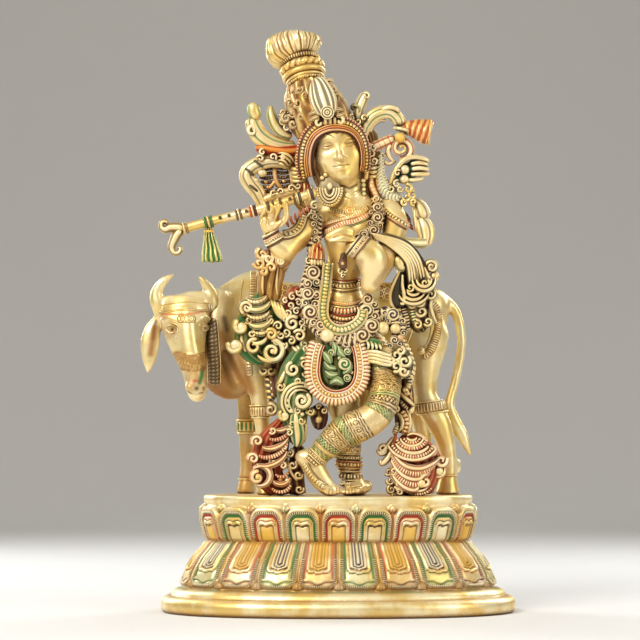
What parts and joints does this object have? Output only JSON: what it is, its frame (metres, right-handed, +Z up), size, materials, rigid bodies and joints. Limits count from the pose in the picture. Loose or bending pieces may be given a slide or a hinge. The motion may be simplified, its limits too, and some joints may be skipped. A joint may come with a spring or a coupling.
{
  "type": "krishna with cow idol",
  "caption": "Cast brass figure playing a flute in front of a standing cow, on an oval lotus plinth, with painted recesses.",
  "frame": {"origin": "middle of the plinth's flat underside, on the surface it stands on", "axes": "+Z up, -Y towards the front of the group, +X to the viewer's right along the plinth's length"},
  "size_m": [0.3345, 0.212, 0.519],
  "materials": {
    "plinth_brass": "bright satin brass with green, red, yellow and dark paint in the recesses",
    "cow_brass": "bright satin brass with a little paint in the recesses",
    "figure_brass": "bright satin brass with green, red and dark purple paint in the recesses"
  },
  "bodies": {
    "root": {"lotus_plinth": "plinth_brass", "cow": "cow_brass", "flute_player": "figure_brass"}
  },
  "joints": []
}
